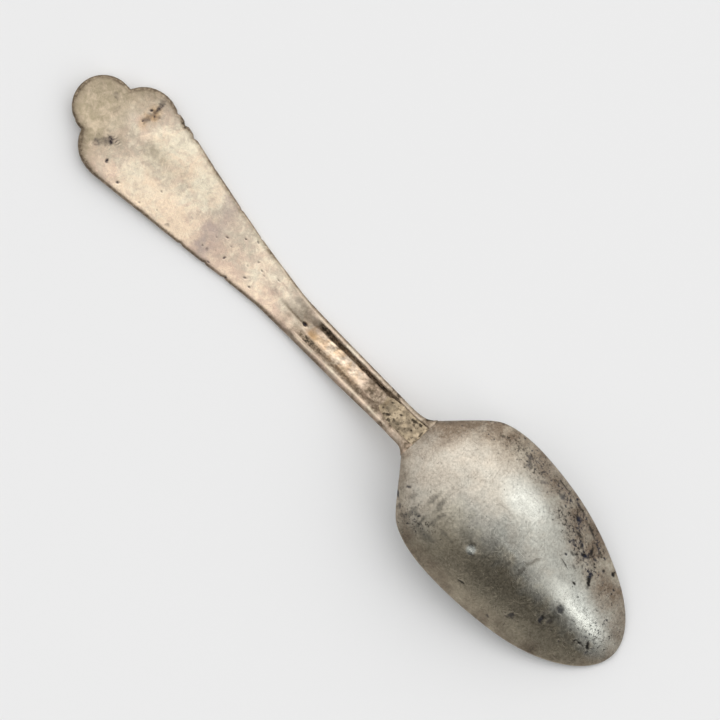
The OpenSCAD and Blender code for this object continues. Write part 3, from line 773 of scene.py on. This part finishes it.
def silver_handle():
    k = Mat("worn_silver_handle")
    grey, mauve, warm, light = (k.attr(a) for a in ("grey", "mauve", "warm", "light"))
    rust, grime, pit = (k.attr(a) for a in ("rust", "grime", "pit"))
    fine = k.noise(2.9, 4, 0.72)
    patch = k.noise(0.8, 4, 0.62, 0.8)
    cloud = k.noise(0.4, 4, 0.6, 0.6)
    hair, dark_hair = k.hairlines(23), k.hairlines(57)
    shade = k.math("ADD", light, k.ramp(patch, 0.3, 0.7, -0.45, 0.45), True)
    tint = k.math("ADD", warm, k.ramp(cloud, 0.3, 0.7, -0.5, 0.5), True)
    col = k.mix(shade, k.mix(tint, DULL, DULL_WARM), k.mix(tint, LIGHT, LIGHT_WARM))
    col = k.mix(grey, col, k.mix(k.ramp(patch, 0.3, 0.7), GREY, GREY_LIGHT))
    col = k.mix(mauve, col, MAUVE)
    col = k.mix(k.math("MULTIPLY", rust, 0.75, True), col, RUST)
    tone = k.ramp(fine, 0.32, 0.68, 0.9, 1.05)
    tone = k.math("ADD", tone, k.math("MULTIPLY", hair, 0.05))
    tone = k.math("SUBTRACT", tone, k.math("MULTIPLY", dark_hair, 0.09))
    col = k.vec("SCALE", col, scale=tone)
    # dirt, and painted shade on the upper channel wall and the stem's -Y side
    dirt_and_shade = k.math("MULTIPLY", grime, k.ramp(k.noise(2.0, 5, 0.7), 0.25, 0.65, 0.6, 1.2), True)
    col = k.mix(k.ramp(dirt_and_shade, 0, 0.75, 0, 1, False), col, DIRT_AND_SHADE)
    col = k.mix(k.ramp(dirt_and_shade, 0.7, 1.0), col, SOOT_AND_SHADE)
    dots = k.math("MULTIPLY", k.ramp(k.noise(1.9, 3, 0.8), 0.66, 0.73), 0.45)
    pitted = k.math("MULTIPLY", pit, k.ramp(fine, 0.3, 0.55, 0.6, 1.15), True)
    k.put(k.b.inputs["Base Color"], k.mix(k.math("MAXIMUM", pitted, dots), col, PIT_BLACK))
    rough = k.math("ADD", k.ramp(fine, 0.3, 0.75, 0.34, 0.46), k.math("MULTIPLY", dirt_and_shade, 0.22))
    k.put(k.b.inputs["Roughness"], k.math("ADD", rough, k.math("MULTIPLY", grey, 0.06), True))
    k.b.inputs["Metallic"].default_value = 1.0
    nrm = k.bump(fine, 0.5, 0.035)
    nrm = k.bump(hair, 0.35, 0.015, nrm)
    k.put(k.b.inputs["Normal"], k.bump(dots, 0.4, -0.05, nrm))
    return k.m


def solder():
    k = Mat("porous_solder")
    grime = k.attr("grime")
    pore = k.ramp(k.noise(2.2, 4, 0.75), 0.55, 0.66)
    col = k.mix(k.noise(1.2, 4, 0.6), SOLDER_DARK, SOLDER_LIGHT)
    col = k.mix(k.math("MULTIPLY", pore, 0.5), col, PORE)
    k.put(k.b.inputs["Base Color"], k.mix(k.math("MULTIPLY", grime, 1.0, True), col, SOLDER_GRIME))
    k.put(k.b.inputs["Roughness"], k.ramp(pore, 0, 1, 0.42, 0.7))
    k.b.inputs["Metallic"].default_value = 1.0
    k.put(k.b.inputs["Normal"], k.bump(pore, 0.6, -0.06, k.bump(k.noise(3.5, 4, 0.7), 0.6, 0.05)))
    return k.m


for piece, make in ((build_bowl(), silver_bowl), (build_handle(), silver_handle), (build_solder(), solder)):
    piece.data.materials.append(make())


# ---------------------------------------------------------------- floor, light, camera
FLOOR_SIZE = 3.0
FLOOR_Z = -0.00002              # just under the spoon, so the two don't share a plane


def build_floor():
    bpy.ops.mesh.primitive_plane_add(size=FLOOR_SIZE, location=(0, 0, FLOOR_Z))
    floor = bpy.context.object
    floor.name = "floor"
    m = bpy.data.materials.new("pale_floor")
    m.use_nodes = True
    b = m.node_tree.nodes["Principled BSDF"]
    b.inputs["Base Color"].default_value = (0.82, 0.82, 0.82, 1)
    b.inputs["Roughness"].default_value = 0.9
    b.inputs["Specular IOR Level"].default_value = 0.1
    floor.data.materials.append(m)


TURN = math.radians(47.0)       # the picture's right is this far round from +X
VIEW_W = 105.3 * MM             # width of the view on the table
CAMERA_H = 0.9                  # height of the camera over the table
AIM = (0.24 * MM, 1.84 * MM, 0)  # the point that the camera looks at


def heading(degrees):
    """Level unit vector, measured from +X towards +Y."""
    return (math.cos(math.radians(degrees)), math.sin(math.radians(degrees)), 0.0)


def area(name, bearing, zenith, size, watts):
    """A round soft box one metre away."""
    z = math.radians(zenith)
    x, y, _ = heading(bearing)
    way = Vector((x * math.sin(z), y * math.sin(z), math.cos(z)))
    data = bpy.data.lights.new(name, "AREA")
    data.shape = "DISK"
    data.size = size
    data.energy = watts
    o = bpy.data.objects.new(name, data)
    bpy.context.collection.objects.link(o)
    o.location = way
    o.rotation_euler = (-way).to_track_quat("-Z", "Y").to_euler()


def build_lights():
    area("key", bearing=130, zenith=38, size=0.9, watts=0.52)
    area("tip_box", bearing=4, zenith=58, size=0.3, watts=0.36)
    world = bpy.data.worlds.new("studio")
    bpy.context.scene.world = world
    k = Mat.on_world(world)
    way = k.add("ShaderNodeTexCoord").outputs["Generated"]
    xyz = k.add("ShaderNodeSeparateXYZ")
    k.put(xyz.inputs[0], way)

    def along(degrees):
        n = k.add("ShaderNodeVectorMath", operation="DOT_PRODUCT")
        k.put(n.inputs[0], way)
        n.inputs[1].default_value = heading(degrees)
        return n.outputs["Value"]

    # white walls all round, darker in the quarter below the spoon, brightest over its upper side
    dark = k.math("MULTIPLY", k.ramp(along(-102), -0.1, 0.09), k.ramp(along(-25), -0.3, 0.72))
    level = k.ramp(along(120), -0.2, 0.45, 0.91, 1.62)
    low = k.ramp(xyz.outputs["Z"], 0.05, 0.55, 0.4, 1.0)
    top = k.ramp(xyz.outputs["Z"], 0.8, 1.0, 1.0, 0.75)
    open_sky = k.math("MULTIPLY", top, k.math("SUBTRACT", 1.0, dark))
    light = k.math("MULTIPLY", k.math("MULTIPLY", level, low), open_sky)
    bg = k.t.nodes["Background"]
    bg.inputs["Color"].default_value = (1, 1, 1, 1)
    k.put(bg.inputs["Strength"], k.math("ADD", light, 0.07))


def build_camera():
    cam = bpy.data.cameras.new("camera")
    cam.sensor_width = 36
    cam.lens = cam.sensor_width * CAMERA_H / VIEW_W
    cam.clip_start = 0.01
    o = bpy.data.objects.new("camera", cam)
    bpy.context.collection.objects.link(o)
    o.location = Vector(AIM) + Vector((0, 0, CAMERA_H))
    o.rotation_euler = (0, 0, TURN)
    bpy.context.scene.camera = o


build_floor()
build_lights()
build_camera()
bpy.context.scene.view_settings.view_transform = "Standard"
